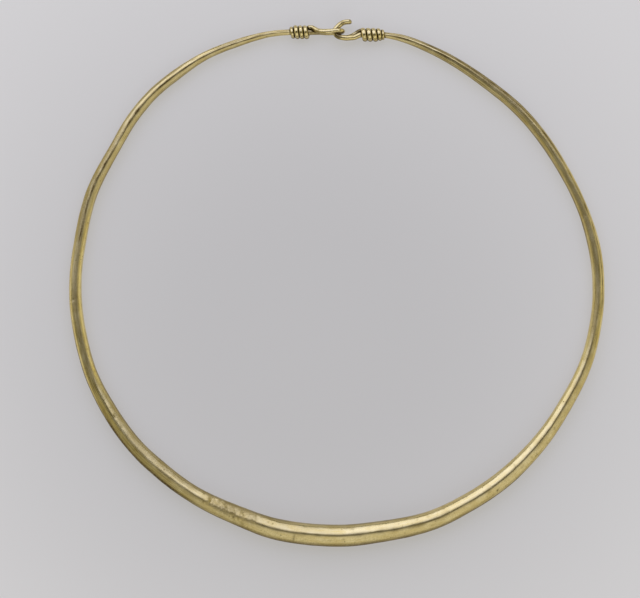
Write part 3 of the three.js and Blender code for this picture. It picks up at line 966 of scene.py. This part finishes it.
def blend(tree, factor, a, b):
    """A colour between two others."""
    node = add_node(tree, "ShaderNodeMix", data_type="RGBA")
    for socket, value in ((node.inputs[0], factor), (node.inputs[6], a), (node.inputs[7], b)):
        if isinstance(value, bpy.types.NodeSocket):
            tree.links.new(value, socket)
        else:
            socket.default_value = value
    return node.outputs[2]


def fit(tree, value, low, high, to_low=0.0, to_high=1.0):
    inputs = [(0, value), (1, low), (2, high), (3, to_low), (4, to_high)]
    return add_node(tree, "ShaderNodeMapRange", inputs, interpolation_type="SMOOTHSTEP").outputs[0]


def noise(tree, vector, scale, detail=2.0, rough=0.5):
    inputs = [("Vector", vector), ("Scale", scale), ("Detail", detail), ("Roughness", rough)]
    return add_node(tree, "ShaderNodeTexNoise", inputs).outputs[0]


def attribute_value(tree, name):
    return add_node(tree, "ShaderNodeAttribute", attribute_name=name).outputs["Fac"]


def lay_vector(tree, stretch, fineness):
    """Seamless coordinates that run along the rod, a stretch to a unit, and round it."""
    lay = add_node(tree, "ShaderNodeUVMap", uv_map="lay").outputs[0]
    parts = add_node(tree, "ShaderNodeSeparateXYZ", [(0, lay)])
    turn = times(tree, parts.outputs[1], 2 * math.pi)
    along = calculate(tree, "DIVIDE", parts.outputs[0], stretch)
    across = times(tree, calculate(tree, "COSINE", turn), fineness)
    above = times(tree, calculate(tree, "SINE", turn), fineness)
    return add_node(tree, "ShaderNodeCombineXYZ", [(0, along), (1, across), (2, above)]).outputs[0]


def gold_patterns(tree):
    """What the gold's colour, roughness and relief are made from."""
    place = add_node(tree, "ShaderNodeTexCoord").outputs["Object"]
    grain = noise(tree, place, GRAIN_SCALE, 2.0, 0.6)
    cells = add_node(tree, "ShaderNodeTexVoronoi", [("Vector", place), ("Scale", PIT_SCALE)])
    pitted_area = fit(tree, noise(tree, place, PITTED_AREA_SCALE), *PITTED_AREA_RANGE)
    return {
        "matte": attribute_value(tree, "matte"),
        "grain": grain,
        "streaks": noise(tree, lay_vector(tree, STREAK_LENGTH, STREAK_FINENESS), 1.0, 3.0, 0.6),
        "patches": noise(tree, place, PATCH_SCALE, 3.0, 0.55),
        "pits": times(tree, fit(tree, cells.outputs["Distance"], *PIT_RANGE, 1.0, 0.0), pitted_area),
        # The darkening mask holds grime and painted shade, mottled by the grain
        "grime_and_shade": times(tree, attribute_value(tree, "grime_and_shade"), fit(tree, grain, *NOISE_RANGE, *DARKENING_MOTTLE)),
    }


def gold_colour(tree, pattern):
    """Two tones of clean gold, speckled where it is matte, darkened by grime and painted shade and in pits."""
    streaks = times(tree, pattern["streaks"], STREAK_SHARE)
    tone = plus(tree, streaks, times(tree, pattern["patches"], PATCH_SHARE))
    clean = blend(tree, fit(tree, tone, *TONE_RANGE), DEEP_GOLD, PALE_GOLD)
    speckle = times(tree, pattern["matte"], fit(tree, pattern["grain"], *SPECKLE_RANGE))
    clean = blend(tree, times(tree, speckle, SPECKLE_STRENGTH), clean, SPECKLED_GOLD)
    darkened = calculate(tree, "MAXIMUM", pattern["grime_and_shade"], times(tree, pattern["pits"], PIT_GRIME))
    return blend(tree, darkened, clean, GRIME_AND_SHADE_BROWN)


def gold_roughness(tree, pattern):
    streaked = fit(tree, pattern["streaks"], *NOISE_RANGE, *CLEAN_ROUGHNESS)
    matte = plus(tree, streaked, times(tree, pattern["matte"], MATTE_ROUGHNESS))
    return plus(tree, matte, times(tree, pattern["grime_and_shade"], DARKENING_ROUGHNESS))


def gold_relief(tree, pattern):
    """Fine grain, stronger where the gold is matte, with streaks and pits."""
    fine = times(tree, pattern["grain"], fit(tree, pattern["matte"], 0, 1, *GRAIN_BUMP))
    height = plus(tree, fine, times(tree, pattern["streaks"], STREAK_BUMP))
    height = calculate(tree, "SUBTRACT", height, times(tree, pattern["pits"], PIT_BUMP))
    inputs = [("Height", height), ("Strength", BUMP_STRENGTH), ("Distance", BUMP_HEIGHT)]
    return add_node(tree, "ShaderNodeBump", inputs).outputs[0]


def new_material(name):
    material = bpy.data.materials.new(name)
    material.use_nodes = True
    return material, material.node_tree, material.node_tree.nodes["Principled BSDF"]


def gold_material():
    material, tree, shader = new_material("worn_gold")
    shader.inputs["Metallic"].default_value = 1
    pattern = gold_patterns(tree)
    tree.links.new(gold_colour(tree, pattern), shader.inputs["Base Color"])
    tree.links.new(gold_roughness(tree, pattern), shader.inputs["Roughness"])
    tree.links.new(gold_relief(tree, pattern), shader.inputs["Normal"])
    return material


def make_ring():
    mesh = build_mesh("hammered_ring")
    ring = bpy.data.objects.new("hammered_ring", mesh)
    bpy.context.scene.collection.objects.link(ring)
    mesh.materials.append(gold_material())
    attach(ring, "root")
    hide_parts("neck_ring")


def table_material():
    """Pale and matte, with a weak glow of painted light that lifts the shadows and rises away from the ring."""
    material, tree, shader = new_material("pale_table")
    shader.inputs["Base Color"].default_value = TABLE_COLOUR
    shader.inputs["Roughness"].default_value = TABLE_ROUGHNESS
    shader.inputs["Specular IOR Level"].default_value = 0.0
    shader.inputs["Emission Color"].default_value = TABLE_PAINTED_LIGHT_COLOUR
    place = add_node(tree, "ShaderNodeTexCoord").outputs["Object"]
    from_middle = [(0, place), (1, TABLE_DIM_MIDDLE)]
    centre = add_node(tree, "ShaderNodeVectorMath", from_middle, operation="SUBTRACT").outputs[0]
    reach = add_node(tree, "ShaderNodeVectorMath", [(0, centre)], operation="LENGTH").outputs["Value"]
    # Painted light: the table glows, weakest under the ring, to wash out the shadows
    painted_table_light = fit(tree, reach, TABLE_DIM_FROM, TABLE_DIM_TO, TABLE_PAINTED_LIGHT, TABLE_PAINTED_LIGHT + TABLE_PAINTED_LIGHT_RISE)
    tree.links.new(painted_table_light, shader.inputs["Emission Strength"])
    return material


def make_table():
    half = TABLE_HALF
    corners = [(-half, -half, 0), (half, -half, 0), (half, half, 0), (-half, half, 0)]
    mesh = bpy.data.meshes.new("table")
    mesh.from_pydata(corners, [], [(0, 1, 2, 3)])
    mesh.materials.append(table_material())
    table = bpy.data.objects.new("table", mesh)
    bpy.context.scene.collection.objects.link(table)


def area_light(name, polar, azimuth, distance, size, radiance, colour):
    """A soft box at an angle from overhead and a compass way, as bright as its radiance seen in a mirror."""
    tilt, way = math.radians(polar), math.radians(azimuth)
    data = bpy.data.lights.new(name, "AREA")
    data.shape = "RECTANGLE"
    data.size, data.size_y = size
    data.energy = radiance * math.pi * size[0] * size[1]
    data.color = colour
    light = bpy.data.objects.new(name, data)
    toward = Vector((math.sin(tilt) * math.cos(way), math.sin(tilt) * math.sin(way), math.cos(tilt)))
    light.location = toward * distance
    light.rotation_euler = toward.to_track_quat("Z", "Y").to_euler()
    bpy.context.scene.collection.objects.link(light)


def light_room():
    """The room round the ring, brightest near the horizon at the two sides."""
    world = bpy.data.worlds.new("studio")
    world.use_nodes = True
    tree = world.node_tree
    toward = add_node(tree, "ShaderNodeTexCoord").outputs["Generated"]
    way = add_node(tree, "ShaderNodeSeparateXYZ", [(0, toward)])
    high = fit(tree, way.outputs[2], ROOM_MID_HEIGHT, 1.0, ROOM_MID, ROOM_OVERHEAD)
    sideways = calculate(tree, "POWER", calculate(tree, "ABSOLUTE", way.outputs[0]), 2.0)
    low = fit(tree, sideways, ROOM_SIDES_FROM, 1.0, ROOM_FRONT, ROOM_SIDES)
    raised = fit(tree, way.outputs[2], *ROOM_HORIZON)
    strength = add_node(tree, "ShaderNodeMix", [(0, raised), (2, low), (3, high)])
    background = tree.nodes["Background"]
    background.inputs["Color"].default_value = ROOM_COLOUR
    tree.links.new(strength.outputs[0], background.inputs["Strength"])
    bpy.context.scene.world = world


def light_scene():
    area_light(
        "key_soft_box", polar=45, azimuth=101, distance=1.0, size=(2.0, 1.05), radiance=1.0,
        colour=(0.95, 1.01, 1.52),
    )
    area_light(
        "fill_soft_box", polar=43, azimuth=290, distance=1.0, size=(1.6, 0.84), radiance=0.62,
        colour=(0.985, 1, 1.12),
    )
    light_room()


def make_camera():
    """Straight above, framed as the ring lies in the photograph."""
    data = bpy.data.cameras.new("camera")
    data.lens, data.sensor_width = LENS, SENSOR
    camera = bpy.data.objects.new("camera", data)
    x = (PHOTO_WIDTH / 2 - RING_MIDDLE_X) * PIXEL
    y = (RING_MIDDLE_Y - PHOTO_HEIGHT / 2) * PIXEL
    height = LENS / SENSOR * PHOTO_WIDTH * PIXEL + FRONT_THICKNESS / 2
    camera.location = (x * MM, y * MM, height * MM)
    bpy.context.scene.collection.objects.link(camera)
    bpy.context.scene.camera = camera


make_ring()
make_table()
light_scene()
make_camera()
bpy.context.scene.view_settings.view_transform = "Standard"
